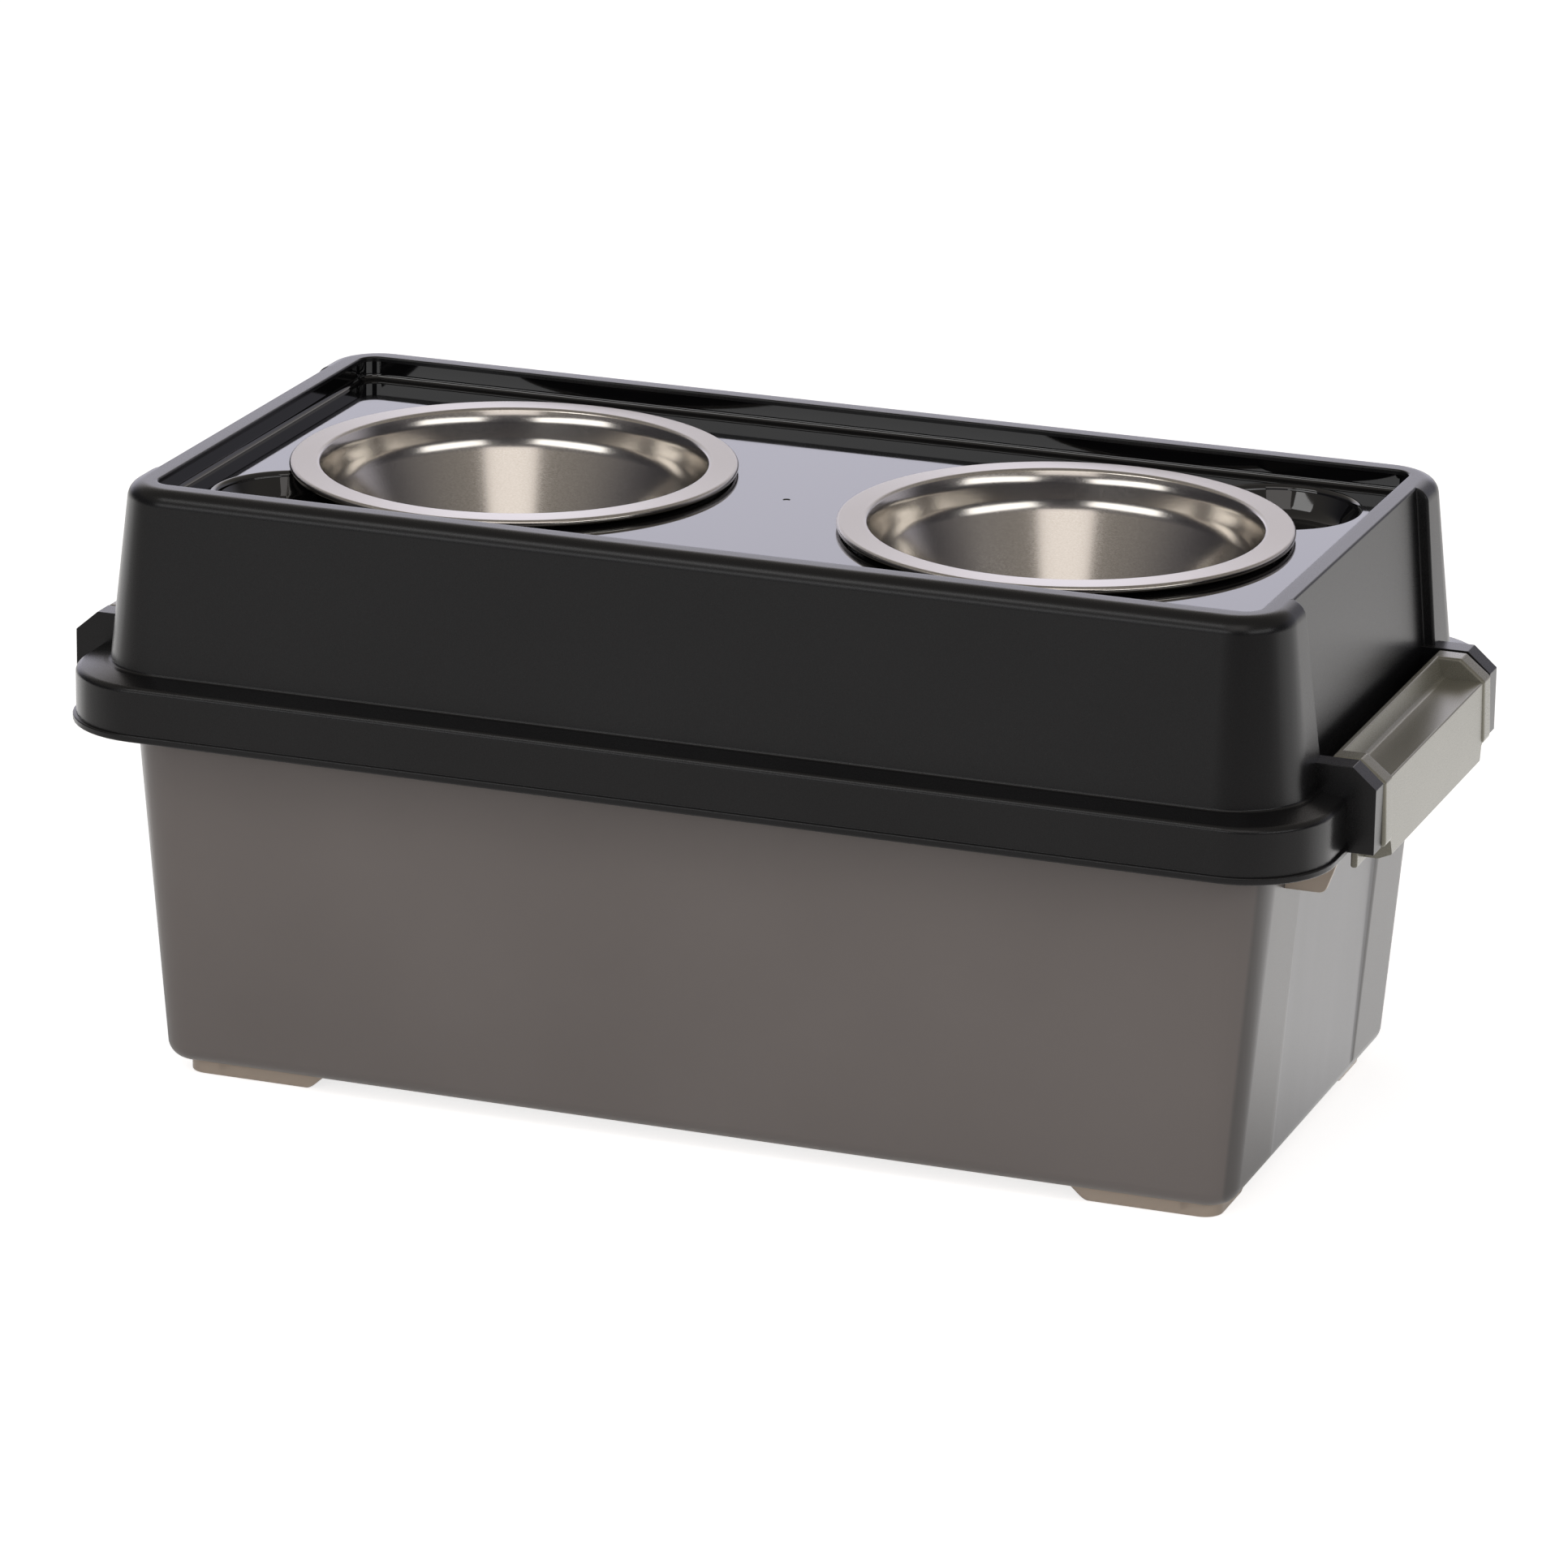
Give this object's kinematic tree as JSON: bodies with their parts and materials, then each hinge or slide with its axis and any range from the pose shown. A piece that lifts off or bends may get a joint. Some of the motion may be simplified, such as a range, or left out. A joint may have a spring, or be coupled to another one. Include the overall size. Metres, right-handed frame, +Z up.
{
  "type": "elevated dog feeder with storage",
  "caption": "Raised feeding station: a lidded storage tub on feet, a deep lid with a tray, lift-out steel bowls and swinging side latches.",
  "frame": {"origin": "on the floor under the middle of the station", "axes": "+X along the long side towards the right latch, +Y to the rear, +Z up"},
  "size_m": [0.6868, 0.3544, 0.3125],
  "materials": {
    "tub": "smoky translucent moulded plastic",
    "lid": "fine satin moulded black",
    "tray": "high gloss black",
    "seal": "soft black",
    "bowl": "spun and brushed stainless steel",
    "latch": "satin champagne grey"
  },
  "bodies": {
    "tub": {"storage_tub": "tub"},
    "lid": {"lid_frame": "lid", "feeder_tray": "tray", "lid_seal": "seal"},
    "left_bowl": {"bowl_left": "bowl"},
    "right_bowl": {"bowl_right": "bowl"},
    "left_latch": {"latch_left": "latch"},
    "right_latch": {"latch_right": "latch"}
  },
  "joints": [
    {"name": "lid_lift", "type": "slide", "parent": "tub", "child": "lid", "axis": [0, 0, 1], "range_m": [0, 0.25]},
    {"name": "bowl_left_lift", "type": "slide", "parent": "lid", "child": "left_bowl", "axis": [0, 0, 1], "range_m": [0, 0.1]},
    {"name": "bowl_right_lift", "type": "slide", "parent": "lid", "child": "right_bowl", "axis": [0, 0, 1], "range_m": [0, 0.1]},
    {"name": "latch_left_swing", "type": "hinge", "parent": "lid", "child": "left_latch", "pos_m": [-0.322, 0, 0.2263], "axis": [0, 1, 0], "range_deg": [0, 95]},
    {"name": "latch_right_swing", "type": "hinge", "parent": "lid", "child": "right_latch", "pos_m": [0.322, 0, 0.2263], "axis": [0, -1, 0], "range_deg": [0, 95]}
  ]
}
